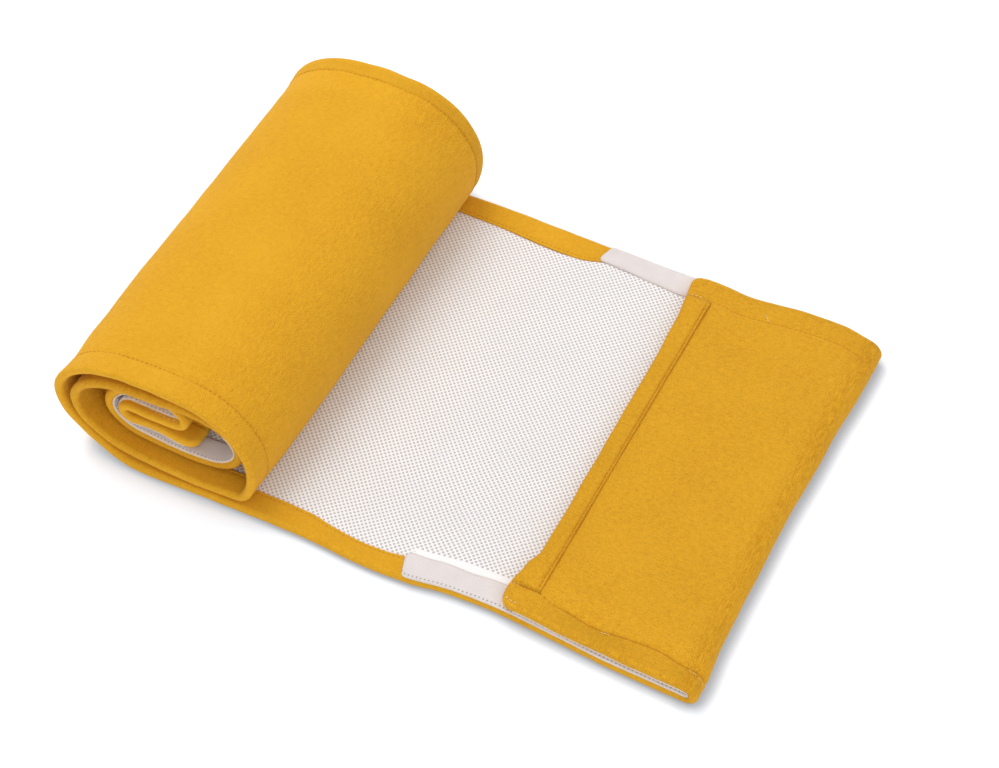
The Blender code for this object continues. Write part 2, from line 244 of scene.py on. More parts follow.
def turn_spot(number, share, far):
    """A point of a turn's middle line. share runs from 0 at its start to 1 at its end."""
    turn = TURNS[number - 1]
    side = 1 if number % 2 else -1
    first_half = share <= 0.5
    higher_end = (turn.z_in > turn.z_out) == first_half
    z_end = (turn.z_in if first_half else turn.z_out) + (turn.lift * far if higher_end else 0.0)
    z_wide = turn.z_wide + turn.lift * far / 2
    reach = turn.reach_in if first_half else turn.reach_out
    angle = math.pi * share
    x = turn.x + turn.drift * far - side * reach * (1.0 - math.sin(angle))
    return x, z_wide + (z_end - z_wide) * abs(math.cos(angle))


def line_spot(along, far):
    """The X and Z of the strip's middle line at a place, counted in turns from the flap's end."""
    number = round(along)
    if 1 <= number <= len(TURNS) and abs(along - number) <= TURN_SPREAD:
        return turn_spot(number, (along - number + TURN_SPREAD) / (2 * TURN_SPREAD), far)
    before = min(math.floor(along), len(TURNS))
    first, start = (before + TURN_SPREAD, turn_spot(before, 1.0, far)) if before else (0.0, FREE_END)
    if before == len(TURNS):
        last, end = LAST_ALONG, CORE_END
    else:
        last, end = before + 1 - TURN_SPREAD, turn_spot(before + 1, 0.0, far)
    share = (along - first) / (last - first)
    return blend(start[0], end[0], share), blend(start[1], end[1], eased(share))


class SmoothTable:
    """A table's columns as smooth curves over the length of cloth, without overshoot."""

    def __init__(self, rows, s_at):
        self.s = [s_at(row.along) for row in rows]
        self.columns = {}
        for name in rows[0]._fields[1:]:
            values = [getattr(row, name) for row in rows]
            self.columns[name] = (values, self.slopes(values))

    def slopes(self, values):
        steps = [(values[n + 1] - values[n]) / (self.s[n + 1] - self.s[n]) for n in range(len(values) - 1)]
        inner = [2 * a * b / (a + b) if a * b > 0 else 0.0 for a, b in zip(steps, steps[1:])]
        return [0.0] + inner + [0.0]

    def at(self, s, name):
        values, slopes = self.columns[name]
        high = min(max(bisect_right(self.s, s), 1), len(self.s) - 1)
        low = high - 1
        length = self.s[high] - self.s[low]
        share = min(max((s - self.s[low]) / length, 0.0), 1.0)
        rest = 1.0 - share
        start = values[low] * (1.0 + 2.0 * share) + slopes[low] * length * share
        end = values[high] * (1.0 + 2.0 * rest) - slopes[high] * length * rest
        return start * rest * rest + end * share * share


# The strip at one place along it: its middle line's X and Z at both edges, which way it heads there, and
# where the edges run. end_way is -1 at the flap's end, 1 at the other, and fold to droop are shares
Station = namedtuple("Station", [
    "along", "s", "near", "far", "near_way", "far_way", "near_y", "far_y",
    "flare", "seams", "end_way", "fold", "bulge", "droop",
])
FINE = 0.0025


class Strip:
    """How the strip lies. Its length is counted in mm from the flap's free end."""

    def __init__(self):
        count = round(LAST_ALONG / FINE)
        self.along = [LAST_ALONG * step / count for step in range(count + 1)]
        self.near = [line_spot(along, 0) for along in self.along]
        self.far = [line_spot(along, 1) for along in self.along]
        self.s = [0.0]
        self.near_run = [0.0]
        for step in range(count):
            near_part = math.dist(self.near[step], self.near[step + 1])
            far_part = math.dist(self.far[step], self.far[step + 1])
            self.s.append(self.s[-1] + (near_part + far_part) / 2)
            self.near_run.append(self.near_run[-1] + near_part)
        self.length = self.s[-1]
        self.run_to_fold = self.near_run[self.along.index(1.0)]
        self.edges = SmoothTable(EDGES, self.s_at)
        self.seams = SmoothTable(SEAMS, self.s_at)

    def s_at(self, along):
        return self.s[min(round(along / LAST_ALONG * (len(self.along) - 1)), len(self.s) - 1)]

    def station(self, s):
        s = min(max(s, 0.0), self.length)
        low = min(bisect_right(self.s, s) - 1, len(self.s) - 2)
        share = (s - self.s[low]) / (self.s[low + 1] - self.s[low])
        near, near_way = self.point_and_way(self.near, low, share)
        far, far_way = self.point_and_way(self.far, low, share)
        run = blend(self.near_run[low], self.near_run[low + 1], share)
        near_start = 1.0 - eased(run / END_FADE)
        near_last = 1.0 - eased((self.near_run[-1] - run) / END_FADE)
        along = blend(self.along[low], self.along[low + 1], share)
        return Station(
            along=along, s=s, near=near, far=far, near_way=near_way, far_way=far_way,
            near_y=self.edges.at(s, "near"), far_y=self.edges.at(s, "far"), flare=self.edges.at(s, "flare"),
            seams=(self.seams.at(s, "near"), self.seams.at(s, "far")),
            end_way=near_last - near_start,
            fold=1.0 - eased(abs(run - self.run_to_fold) / FOLD_FADE),
            bulge=ramp(along, *BULGE_RISES) * (1.0 - ramp(along, *BULGE_FALLS)),
            droop=ramp(along, *DROOP_RISES) * (1.0 - ramp(along, *DROOP_FALLS)),
        )

    def point_and_way(self, line, low, share):
        point = [blend(line[low][axis], line[low + 1][axis], share) for axis in (0, 1)]
        first, last = line[max(low - 2, 0)], line[min(low + 3, len(line) - 1)]
        dx, dz = last[0] - first[0], last[1] - first[1]
        length = math.hypot(dx, dz)
        return point, (dx / length, dz / length)

    def place(self, station, across, depth, slide_in=0.0, slide_way=1.0, inset=0.0):
        """The point at a station, at a distance across the cloth and a depth below its muslin face.

        Near either rim the distance is in mm from that rim. slide_in moves the point in from a
        short end, where the end's own uneven line then counts less and less.
        """
        near_y, far_y = station.near_y, station.far_y
        width = far_y - near_y
        if across < SIDE_ZONE:
            from_near = across
        elif across > CLOTH_WIDTH - SIDE_ZONE:
            from_near = width - (CLOTH_WIDTH - across)
        else:
            middle = (across - SIDE_ZONE) / (CLOTH_WIDTH - 2 * SIDE_ZONE)
            from_near = blend(SIDE_ZONE, width - SIDE_ZONE, middle)
        from_rim = min(from_near, width - from_near)
        from_near += inset if from_near < width / 2 else -inset
        share = from_near / width
        x = blend(station.near[0], station.far[0], share)
        z = blend(station.near[1], station.far[1], share)
        way_x = blend(station.near_way[0], station.far_way[0], share)
        way_z = blend(station.near_way[1], station.far_way[1], share)
        length = math.hypot(way_x, way_z)
        way_x, way_z = way_x / length, way_z / length
        outward = station.flare * max(0.0, 1.0 - from_rim / HEM_WIDTH)
        outward += station.bulge * from_rows(BULGE, from_near, "reach")
        outward -= FLAP_DROOP * station.droop * max(0.0, 1.0 - max(from_near, 0.0) / DROOP_WIDTH)
        height = STRIP / 2 - depth + outward
        in_band = min(max(slide_in, 0.0) / BAND_WIDTH, 1.0)
        shift = from_rows(END_LINE, from_near, "reach") * station.end_way * (1.0 - in_band)
        shift += slide_in * slide_way
        x += way_x * shift - way_z * height + from_rows(FOLD_LINE, from_near, "reach") * station.fold
        z += way_z * shift + way_x * height
        return Vector(((x - CENTRE_X) * MM, (near_y + from_near - CENTRE_Y) * MM, max(z, LOWEST) * MM))


strip = Strip()


# ------------------------------ materials
class Maths:
    """A socket of a material, with operators that add Math nodes."""

    def __init__(self, tree, socket):
        self.tree = tree
        self.socket = socket

    def added(self, operation, *values):
        made = node(self.tree, "ShaderNodeMath", {"operation": operation}, values)
        return Maths(self.tree, made.outputs[0])

    def worked(self, operation, *others):
        """The result of a Math node on this socket and any others."""
        return self.added(operation, self, *others)

    def __add__(self, other):
        return self.worked("ADD", other)

    def __sub__(self, other):
        return self.worked("SUBTRACT", other)

    def __rsub__(self, other):
        return self.added("SUBTRACT", other, self)

    def __mul__(self, other):
        return self.worked("MULTIPLY", other)

    def __truediv__(self, other):
        return self.worked("DIVIDE", other)

    __radd__ = __add__
    __rmul__ = __mul__

    def stepped(self, low, high):
        """0 below low, 1 above high, smooth between. With low above high it falls."""
        made = node(self.tree, "ShaderNodeMapRange", {"interpolation_type": "SMOOTHSTEP"},
                    {"Value": self, "From Min": low, "From Max": high})
        return Maths(self.tree, made.outputs["Result"])

    def near(self, place, width):
        """1 at a place, falling to 0 a width away from it."""
        return (self - place).worked("ABSOLUTE").stepped(width, 0.0)


def join(tree, value, socket):
    if isinstance(value, Maths):
        tree.links.new(value.socket, socket)
    elif isinstance(value, bpy.types.NodeSocket):
        tree.links.new(value, socket)
    else:
        socket.default_value = value


def node(tree, kind, settings=(), values=()):
    """A node with its settings made first, then its sockets' values or links."""
    made = tree.nodes.new(kind)
    for name, value in dict(settings).items():
        setattr(made, name, value)
    pairs = values.items() if isinstance(values, dict) else enumerate(values)
    for key, value in pairs:
        join(tree, value, made.inputs[key])
    return made


def mixed(tree, factor, low, high):
    """A colour between two colours."""
    made = node(tree, "ShaderNodeMix", {"data_type": "RGBA", "clamp_factor": True},
                {0: factor, 6: low, 7: high})
    return made.outputs[2]


def speckle(tree, vector, scale, stretch=(1, 1, 1), detail=2.0, roughness=0.5, distortion=0.0):
    """Noise on the cloth's own coordinates. stretch below 1 draws it out along one of them."""
    mapping = node(tree, "ShaderNodeMapping", {}, {"Vector": vector, "Scale": stretch})
    made = node(tree, "ShaderNodeTexNoise", {"noise_dimensions": "3D"},
                {"Vector": mapping.outputs[0], "Scale": scale, "Detail": detail,
                 "Roughness": roughness, "Distortion": distortion})
    return Maths(tree, made.outputs["Fac"])


def new_material(name, roughness, sheen, sheen_tint=(1, 1, 1, 1)):
    material = bpy.data.materials.new(name)
    material.use_nodes = True
    tree = material.node_tree
    shader = tree.nodes["Principled BSDF"]
    shader.inputs["Roughness"].default_value = roughness
    shader.inputs["Sheen Weight"].default_value = sheen
    shader.inputs["Sheen Tint"].default_value = sheen_tint
    shader.inputs["Specular IOR Level"].default_value = 0.1
    return material, tree, shader


def cloth_axes(tree):
    """The cloth's own coordinates in mm: along the strip, across it, and both as a vector."""
    uv = node(tree, "ShaderNodeUVMap", {"uv_map": "cloth"})
    split = node(tree, "ShaderNodeSeparateXYZ", {}, {0: uv.outputs[0]})
    along = Maths(tree, split.outputs[0]) * 1000.0
    across = Maths(tree, split.outputs[1]) * 1000.0
    return along, across, uv.outputs[0]


def set_bump(tree, shader, height, distance):
    made = node(tree, "ShaderNodeBump", {}, {"Strength": 1.0, "Distance": distance, "Height": height})
    tree.links.new(made.outputs[0], shader.inputs["Normal"])


MUSTARD_LIT = (0.86, 0.435, 0.024, 1)
MUSTARD_DEEP = (0.56, 0.235, 0.008, 1)
MUSTARD_SHEEN = (1.0, 0.80, 0.40, 1)
SEAM_SHADE = (0.40, 0.15, 0.006, 1)
SEAM_LINE = 0.75
WEAVE_PITCH = 0.9


def muslin_material(name="muslin_crinkled", dull=0.0):
    """Gauze layers sewn together: a soft grain, short crinkles and dark lines along the seams."""
    material, tree, shader = new_material(name, 0.92, 0.10, MUSTARD_SHEEN)
    along, across, cloth = cloth_axes(tree)
    from_rim = across.worked("MINIMUM", CLOTH_WIDTH - across)
    at = strip.s_at

    # Where the cloth looks different: at the flap's fold, on the roll's flank, on the flap, in the roll. At
    # the fold and in the roll this is painted shade, which turns to a slight painted lightening deeper in the
    # roll
    at_fold = along.near(at(1.0), 22.0)
    on_flank = along.near(at(2.95), 60.0)
    on_flap = along.stepped(at(0.98), at(0.90))
    in_roll = along.stepped(at(3.3), at(4.2)) - along.stepped(at(5.4), at(6.4)) * 1.5
    past_corner = along.stepped(20.0, 34.0)
    near_side = across.stepped(150.0, 130.0)

    ribs = speckle(tree, cloth, 760.0, stretch=(1.0, 0.22, 1.0), roughness=0.6, distortion=0.3)
    streaks = speckle(tree, cloth, 760.0, stretch=(0.30, 1.0, 1.0), roughness=0.6, distortion=0.3)
    crumple = speckle(tree, cloth, 420.0, stretch=(1.0, 0.8, 1.0), detail=3.0, roughness=0.65, distortion=0.5)
    grain = speckle(tree, cloth, 1500.0, roughness=0.6)
    broad = speckle(tree, cloth, 24.0)
    ribbed = (at_fold + on_flank).stepped(0.05, 0.8)
    lines = ribs * (ribbed * 0.6 + 0.25) + streaks * (0.55 - ribbed * 0.4)
    turn = 2 * math.pi / WEAVE_PITCH
    weave = (along * turn).worked("SINE") * (across * turn).worked("SINE")
    height = lines * (0.6 - at_fold * 0.25) + crumple * 0.5 + grain * (on_flap * 0.4 + 0.65) + weave * 0.05

    # The colour runs from lit to deep mustard: the grain and broad noise are random mottling, and the crinkle
    # noise adds painted shade that follows the crinkles
    shade = lines * 0.45 + crumple * 0.25 + grain * 0.55 + broad * 0.22 + (dull - 0.25)
    # Painted shade: darker at the fold and inside the roll, slightly lighter deeper in
    shade = shade + (grain - 0.5) * (on_flap * 0.6 + on_flank * 0.7) + at_fold * 0.06 + in_roll * 0.16
    shade = shade + (lines - 0.4) * on_flap * 0.45
    shade = shade + on_flap * from_rim.stepped(HEM_WIDTH, HEM_WIDTH - 3.0) * 0.04
    cloth_colour = mixed(tree, shade.stepped(0.22, 0.92), MUSTARD_LIT, MUSTARD_DEEP)
    seam_depth = 0.07 + on_flap * past_corner * (near_side * 0.42 + 0.13)
    seam = from_rim.near(HEM_WIDTH, SEAM_LINE) * seam_depth * (crumple * 1.6 + 0.2)
    tree.links.new(mixed(tree, seam, cloth_colour, SEAM_SHADE), shader.inputs["Base Color"])
    set_bump(tree, shader, height, 0.0007)
    return material


MESH_PITCH = 3.33
YARN_LIT = (0.98, 0.955, 0.935, 1)
YARN_DEEP = (0.92, 0.89, 0.87, 1)
HOLE_SHADE = (0.66, 0.57, 0.55, 1)


def mesh_material():
    """White knitted spacer fabric with small round holes in staggered rows."""
    material, tree, shader = new_material("spacer_mesh_knit", 0.85, 0.05)
    along, across, cloth = cloth_axes(tree)
    holes = None
    for shift in (0.0, 0.5):
        x = ((along / MESH_PITCH + shift).worked("FRACT") - 0.5) * MESH_PITCH
        y = ((across / MESH_PITCH + shift).worked("FRACT") - 0.5) * MESH_PITCH
        reach = (x * x + y * y * 1.1).worked("SQRT")
        holes = reach if holes is None else holes.worked("MINIMUM", reach)
    beside_tape = along.stepped(strip.s_at(1.515), strip.s_at(1.50)) * across.stepped(22.8, 21.8)
    hole = holes.stepped(0.88, 0.45) * (1.0 - beside_tape)
    knit = speckle(tree, cloth, 900.0, roughness=0.6)
    broad = speckle(tree, cloth, 30.0)
    yarn = mixed(tree, (knit * 0.7 + broad * 0.3).stepped(0.3, 0.8), YARN_LIT, YARN_DEEP)
    tree.links.new(mixed(tree, hole, yarn, HOLE_SHADE), shader.inputs["Base Color"])
    set_bump(tree, shader, knit * 0.2 - hole * 0.75, 0.0008)
    return material


# A tape's edges, as distances from the rim, and how far in from its outer edge it is stitched
TAPE_LOW = 0.8
TAPE_HIGH = 16.3
TAPE_SEWN = 1.7
TAPE_STITCH = 2.6
PILE_LIT = (0.88, 0.805, 0.775, 1)
PILE_DEEP = (0.75, 0.67, 0.65, 1)
SELVEDGE = (0.90, 0.80, 0.66, 1)
SELVEDGE_IN_ROLL = (0.86, 0.64, 0.34, 1)
STITCH_HOLE = (0.36, 0.22, 0.14, 1)


def tape_material(name="loop_tape_pile", stitched=1.0):
    """Short brushed loops, a smooth warmer selvedge and small dark stitch holes beside it."""
    material, tree, shader = new_material(name, 0.95, 0.15)
    along, across, cloth = cloth_axes(tree)
    pile = speckle(tree, cloth, 1300.0, detail=3.0, roughness=0.7)
    broad = speckle(tree, cloth, 60.0)
    brushed = mixed(tree, (pile * 0.6 + broad * 0.4).stepped(0.25, 0.8), PILE_LIT, PILE_DEEP)
    in_roll = along.stepped(strip.s_at(4.0), strip.s_at(4.2))
    selvedge = mixed(tree, in_roll, SELVEDGE, SELVEDGE_IN_ROLL)
    plain = mixed(tree, across.near(TAPE_LOW, 1.0) * 0.8, brushed, selvedge)
    beat = (along / TAPE_STITCH).worked("FRACT")
    hole = beat.near(0.5, 0.3) * across.near(TAPE_LOW + TAPE_SEWN, 0.7)
    colour = mixed(tree, hole * (0.65 * stitched), plain, STITCH_HOLE)
    tree.links.new(colour, shader.inputs["Base Color"])
    set_bump(tree, shader, pile * 0.8 - hole * stitched, 0.0006)
    return material


def thread_material(name, colour, deep):
    """Twisted sewing thread."""
    material, tree, shader = new_material(name, 0.6, 0.1)
    place = node(tree, "ShaderNodeTexCoord").outputs["Object"]
    twist = speckle(tree, place, 1800.0, detail=1.0)
    tree.links.new(mixed(tree, twist.stepped(0.3, 0.7), colour, deep), shader.inputs["Base Color"])
    return material


# ------------------------------ cloth pieces
Column = namedtuple("Column", "across depth pattern")


def show(name, data):
    made = bpy.data.objects.new(name, data)
    bpy.context.scene.collection.objects.link(made)
    return made


def show_mesh(name, mesh, material):
    data = bpy.data.meshes.new(name)
    mesh.to_mesh(data)
    mesh.free()
    data.materials.append(material)
    return show(name, data)


def add_piece(name, mesh, material, nodes=()):
    """A piece of the bumper from a bmesh. It replaces the solids of its nodes."""
    piece = show_mesh(name, mesh, material)
    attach(piece, "root")
    if nodes:
        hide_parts(*nodes)
    return piece


def lay_cloth(name, rows, columns, put, material, thickness, nodes):
    """A sheet with a line of points for each row and column, laid where put says.

    put also gives each point's place on the cloth's own pattern, in mm.
    """
    mesh = bmesh.new()
    last_row, last_column = len(rows) - 1, len(columns) - 1
    bmesh.ops.create_grid(mesh, x_segments=last_row, y_segments=last_column, size=0.5)
    uv = mesh.loops.layers.uv.new("cloth")
    spots = {}
    for vert in mesh.verts:
        row = rows[round((vert.co.x + 0.5) * last_row)]
        column = columns[round((vert.co.y + 0.5) * last_column)]
        vert.co, pattern = put(row, column)
        spots[vert] = (row.s * MM, pattern * MM)
    for face in mesh.faces:
        face.smooth = True
        for loop in face.loops:
            loop[uv].uv = spots[loop.vert]
    piece = add_piece(name, mesh, material, nodes)
    solid = piece.modifiers.new("thickness", "SOLIDIFY")
    solid.thickness = thickness * MM
    solid.offset = -1.0
    return piece


def stations_by(zones, first=0.0):
    """Stations from a first place on, at each zone's own step, up to the zone's end, all in mm."""
    found = []
    s = first
    for end, step in zones:
        count = max(round((end - s) / step), 1)
        found += [blend(s, end, number / count) for number in range(count)]
        s = end
    found.append(s)
    return [strip.station(place) for place in found]


def spread(first, last, step):
    count = max(round(abs(last - first) / step), 1)
    return [blend(first, last, number / count) for number in range(count + 1)]


def crinkle(s, across, salt, size):
    """Smooth noise over the cloth, with bumps of about a size in mm."""
    return noise.noise(Vector((s / size, across / size, salt)))


# The short ends: how long a stretch closes the layers, and the corners' rounding and reach
END_ROUND = 3.2
CORNER = 7.0
CORNER_REACH = 1.8
CORNER_STRETCH = 12.0

# Across the cloth: how far the rim's round reaches in, and where the columns follow the seam
RIM_REACH = 2.6
RIM_ZONE = 4.5
SEAM_REACH = 28.0
RIM_WAVE = 0.35
RIM_WAVE_WIDTH = 6.0

# The seams: where the hem is stitched on its own face, and how deep and wide a groove is drawn in
HEM_STITCH = 15.3
HEM_GROOVE = 0.30
SEAM_GROOVE = 0.38
SEAM_WIDTH = 1.3
SHARP_GROOVE = 0.95
SHARP_WIDTH = 0.75
SEAM_PUFF = 0.22
SEAM_PUFF_AT = 2.4
PUCKER = 0.30
MUSLIN_LAYER = 1.2

# The crinkles of the muslin's face: their height, how much closer they lie along the strip, and their size
Crinkle = namedtuple("Crinkle", "rise closer salt size")
CRINKLES = [
    Crinkle(rise=0.50, closer=1.0, salt=3.1, size=34.0),
    Crinkle(rise=0.26, closer=1.6, salt=7.7, size=11.0),
]


def from_short_end(station):
    return min(station.s, strip.length - station.s)


def end_squeeze(station):
    """How far the layers stay apart near the short ends, where they close together."""
    share = min(from_short_end(station) / END_ROUND, 1.0)
    return math.sqrt(max(1.0 - (1.0 - share) ** 2, 0.0))


def corner_inset(station, from_rim):
    """How far a corner's rounding moves the rim in."""
    from_end = from_short_end(station)
    if from_end >= CORNER:
        return 0.0
    inset = CORNER - math.sqrt(CORNER ** 2 - (CORNER - from_end) ** 2)
    return inset * max(0.0, 1.0 - from_rim / HEM_WIDTH)


def to_seam(nominal, seam):
    """A distance from the rim, moved so that the hem's usual width falls on its seam there."""
    if nominal <= RIM_ZONE or nominal >= SEAM_REACH:
        return nominal
    if nominal <= HEM_WIDTH:
        return blend(RIM_ZONE, seam, (nominal - RIM_ZONE) / (HEM_WIDTH - RIM_ZONE))
    return blend(seam, SEAM_REACH, (nominal - HEM_WIDTH) / (SEAM_REACH - HEM_WIDTH))


def sewn_across(station, nominal):
    near_seam, far_seam = station.seams
    if nominal < CLOTH_WIDTH / 2:
        return to_seam(nominal, near_seam)
    return CLOTH_WIDTH - to_seam(CLOTH_WIDTH - nominal, far_seam)


def mirrored(columns):
    return [Column(CLOTH_WIDTH - c.across, c.depth, CLOTH_WIDTH - c.pattern) for c in reversed(columns)]


# Where the lines along the strip lie, closer at the seam: on the hem, then on the muslin face
HEM_COLUMNS = [17.3, 16.7, 16.0, 15.3, 14.6, 13.2, 11.2, 9.0, 6.8, 4.8, 3.6]
FACE_COLUMNS = [4.5, 6.5, 8.8, 11.0, 13.0, 14.6, 15.7, 16.4, 17.0, 17.6, 18.3, 19.6, 22.0, 25.0, 28.0]


def muslin_columns():
    """The outline of the muslin's section: hem on the mesh face, rim, muslin face, rim, hem."""
    half = [Column(HEM_WIDTH + 0.5, HEM_TOP - 0.75, -HEM_WIDTH - 0.6)]
    half += [Column(place, HEM_TOP, -place) for place in HEM_COLUMNS]
    for step in range(7):
        angle = math.pi * step / 6
        reach = RIM_REACH * (1.0 - math.sin(angle))
        depth = HEM_TOP / 2 * (1.0 + math.cos(angle))
        half.append(Column(reach, depth, (1.0 - depth / HEM_TOP * 2.0) * 2.0))
    half += [Column(place, 0.0, place) for place in FACE_COLUMNS]
    middle = spread(SEAM_REACH, CLOTH_WIDTH - SEAM_REACH, 5.6)[1:-1]
    return half + [Column(place, 0.0, place) for place in middle] + mirrored(half)


def seam_sharpness(station, near_side):
    """How sharply the face's seam is drawn in: most along the flap's near hem, past its corner."""
    on_flap = 1.0 - ramp(station.along, 0.9, 1.2)
    return on_flap * ramp(station.s, 14.0, 34.0) * (1.0 if near_side else 0.3)


def muslin_relief(station, column):
    """How far the muslin sinks at a seam and rises in its crinkles, in mm."""
    from_rim = min(column.across, CLOTH_WIDTH - column.across)
    near_side = column.across < CLOTH_WIDTH / 2
    s = station.s
    side = 0.0 if near_side else 60.0
    pucker = PUCKER * (crinkle(s, side, 1.3, 6.5) + 0.5 * crinkle(s, side, 8.3, 3.4))
    if column.depth > HEM_TOP / 2:
        return -HEM_GROOVE * bump_at(from_rim, HEM_STITCH, 0.7) - pucker * bump_at(from_rim, HEM_WIDTH, 5.0)
    relief = pucker * bump_at(from_rim, HEM_WIDTH, 5.5)
    on_face = column.depth < 0.1
    if on_face:
        sharp = seam_sharpness(station, near_side)
        groove = blend(SEAM_GROOVE, SHARP_GROOVE, sharp)
        relief += groove * bump_at(from_rim, HEM_WIDTH, blend(SEAM_WIDTH, SHARP_WIDTH, sharp))
        relief -= SEAM_PUFF * bump_at(from_rim, HEM_WIDTH - SEAM_PUFF_AT, 1.6)
        relief -= SEAM_PUFF * bump_at(from_rim, HEM_WIDTH + SEAM_PUFF_AT, 1.6)
        for row in CRINKLES:
            relief += row.rise * crinkle(s * row.closer, column.pattern, row.salt, row.size)
    return relief


def put_muslin(station, column):
    squeeze = end_squeeze(station)
    depth = column.depth + muslin_relief(station, column) * squeeze
    depth = HEM_TOP / 2 + (depth - HEM_TOP / 2) * squeeze
    from_rim = min(column.across, CLOTH_WIDTH - column.across)
    side = 0.0 if column.across < CLOTH_WIDTH / 2 else 40.0
    wave = RIM_WAVE * crinkle(station.s, side, 5.2, 14.0) * max(0.0, 1.0 - from_rim / RIM_WAVE_WIDTH)
    inset = corner_inset(station, from_rim) + wave
    at_corner = 1.0 - ramp(from_short_end(station), 0.0, CORNER_STRETCH)
    reach = -CORNER_REACH * at_corner * (1.0 - ramp(from_rim, HEM_WIDTH, HEM_WIDTH + 3.0))
    away = 1.0 if station.s < strip.length / 2 else -1.0
    across = sewn_across(station, column.across)
    return strip.place(station, across, depth, reach, away, inset), column.pattern


def make_muslin(material):
    at = strip.s_at
    zones = [
        (5.0, 0.7), (at(0.88), 2.2), (at(1.12), 1.2), (at(1.9), 3.6), (at(3.3), 2.1), (at(5.2), 5.0),
        (at(6.88), 4.2), (at(7.12), 1.4), (at(7.88), 3.0), (at(8.12), 1.4),
        (strip.length - 5.0, 4.0), (strip.length, 0.7),
    ]
    return lay_cloth("muslin_cloth", stations_by(zones), muslin_columns(), put_muslin, material,
                     MUSLIN_LAYER, ["muslin_panel"])


# The mesh's free face, squeezed under the hem: its depth at each distance from the rim
MeshEdge = namedtuple("MeshEdge", "from_rim depth")
MESH_EDGE = [
    MeshEdge(from_rim=12.0, depth=4.6),
    MeshEdge(from_rim=15.5, depth=4.6),
    MeshEdge(from_rim=17.2, depth=4.8),
    MeshEdge(from_rim=18.2, depth=5.2),
    MeshEdge(from_rim=20.0, depth=STRIP),
    MeshEdge(from_rim=24.0, depth=STRIP),
]
MESH_LAYER = 2.4


def mesh_columns():
    half = [Column(edge.from_rim, edge.depth, edge.from_rim) for edge in MESH_EDGE]
    middle = spread(SEAM_REACH, CLOTH_WIDTH - SEAM_REACH, 6.0)
    return half + [Column(place, STRIP, place) for place in middle] + mirrored(half)


def put_mesh(station, column):
    wave = 0.25 * crinkle(station.s, column.across, 9.1, 26.0)
    across = sewn_across(station, column.across)
    return strip.place(station, across, column.depth + wave), across


def make_mesh(material):
    at = strip.s_at
    zones = [(at(0.88), 4.0), (at(1.12), 1.6), (at(6.88), 3.6), (at(8.12), 2.0), (strip.length - 2.0, 3.6)]
    return lay_cloth("spacer_mesh_cloth", stations_by(zones, 2.0), list(reversed(mesh_columns())),
                     put_mesh, material, MESH_LAYER, ["mesh_panel"])


TAPE_ROUND = 4.0
TAPE_ROUND_FAR = 1.8
TAPE_SLANT = 3.0
TAPE_SLANT_LENGTH = 20.0
TAPE_DEPTH = 7.0
TAPE_EDGE_SINK = 0.55
TAPE_EDGE_WIDTH = 1.6
TAPE_FAR_SINK = 0.65
TAPE_LAYER = 0.8


def tape_edges(station, near, at_core):
    """How far from the rim a tape's two edges run at a station."""
    if not at_core:
        return TAPE_LOW, from_rows(TAPE_REACH, station.along, "near" if near else "far")
    if not near:
        return TAPE_LOW, TAPE_HIGH
    moved = from_rows(NEAR_CORE_TAPE, station.along, "from_rim") - NEAR_CORE_TAPE[0].from_rim
    return TAPE_LOW + moved, TAPE_HIGH + moved


def make_tape(name, node_name, first, last, near, at_core, material):
    """A tape on the hem of one long edge, from a first to a last place along the cloth."""
    columns = [Column(place, TAPE_DEPTH, place) for place in spread(TAPE_LOW, TAPE_HIGH, 1.3)]
    shown_end = first if at_core else last
    rounding = TAPE_ROUND if near or at_core else TAPE_ROUND_FAR

    def put(station, column):
        share = (column.pattern - TAPE_LOW) / (TAPE_HIGH - TAPE_LOW)
        low, high = tape_edges(station, near, at_core)
        across = blend(low, high, share)
        from_end = abs(station.s - shown_end)
        if from_end < rounding:
            narrow = rounding - math.sqrt(rounding ** 2 - (rounding - from_end) ** 2)
            across += (0.5 - share) * 2.0 * narrow
        if not at_core:
            slant = TAPE_SLANT * (share - 0.5) * max(0.0, 1.0 - from_end / TAPE_SLANT_LENGTH)
            station = strip.station(station.s + slant)
        from_edge = min(share, 1.0 - share) * (TAPE_HIGH - TAPE_LOW)
        depth = TAPE_DEPTH + 0.14 * crinkle(station.s, column.across, 2.2, 9.0)
        depth -= TAPE_EDGE_SINK * (1.0 - ramp(from_edge, 0.0, TAPE_EDGE_WIDTH))
        if not near and not at_core:
            depth -= TAPE_FAR_SINK * ramp(share, 0.82, 1.0)
        across = across if near else CLOTH_WIDTH - across
        return strip.place(station, across, depth), column.pattern

    order = list(reversed(columns)) if near else columns
    stations = stations_by([(first + 5, 0.8), (last - 5, 1.8), (last, 0.8)], first)
    return lay_cloth(name, stations, order, put, material, TAPE_LAYER, [node_name])


def make_tapes(material, plain_material):
    """The four tapes. The outer far one shows no stitch holes."""
    outer_end = strip.s_at(1.1)
    while strip.station(outer_end).near[0] > TAPE_END_X:
        outer_end += 0.5
    spans = {
        "outer": (TAPE_TO_END, outer_end),
        "inner": (strip.s_at(TAPE_CORE_FROM), strip.length - TAPE_TO_END),
    }
    made = []
    for end, (first, last) in spans.items():
        for side in ("near", "far"):
            pile = plain_material if (side, end) == ("far", "outer") else material
            made.append(make_tape(f"pile_tape_{side}_{end}", f"loop_tape_{side}_{end}", first, last,
                                  side == "near", end == "inner", pile))
    return made


BAND_NOSE = 2.0
BAND_OUT = 1.5
BAND_GAP = 0.05
BAND_BEND = 1.5
BAND_RISE_WIDTH = 3.5
BAND_LAYER = 1.0
BAND_STITCH = 12.3

